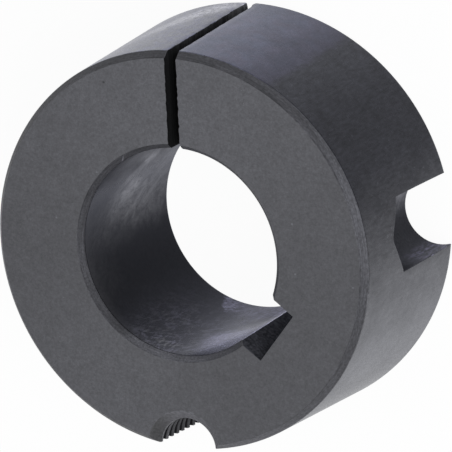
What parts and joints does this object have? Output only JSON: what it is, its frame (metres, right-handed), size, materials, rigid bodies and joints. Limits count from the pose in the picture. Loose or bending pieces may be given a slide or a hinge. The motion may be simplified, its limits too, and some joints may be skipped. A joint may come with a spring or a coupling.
{
  "type": "split taper bushing",
  "caption": "Split tapered bush that clamps a hub to a keyed shaft, with blind half-holes for the clamping screws and a tapped half-hole for the removal screw.",
  "frame": {"origin": "on the bore's axis, in the plane of the large end face, which the bush stands on", "axes": "+Z along the bore from the large end to the small end, +Y towards the saw slot"},
  "size_m": [0.0568, 0.0569, 0.025],
  "materials": {
    "black_iron": "black phosphated turned iron, satin with a fine grain"
  },
  "bodies": {
    "root": {"bushing": "black_iron"}
  },
  "joints": []
}
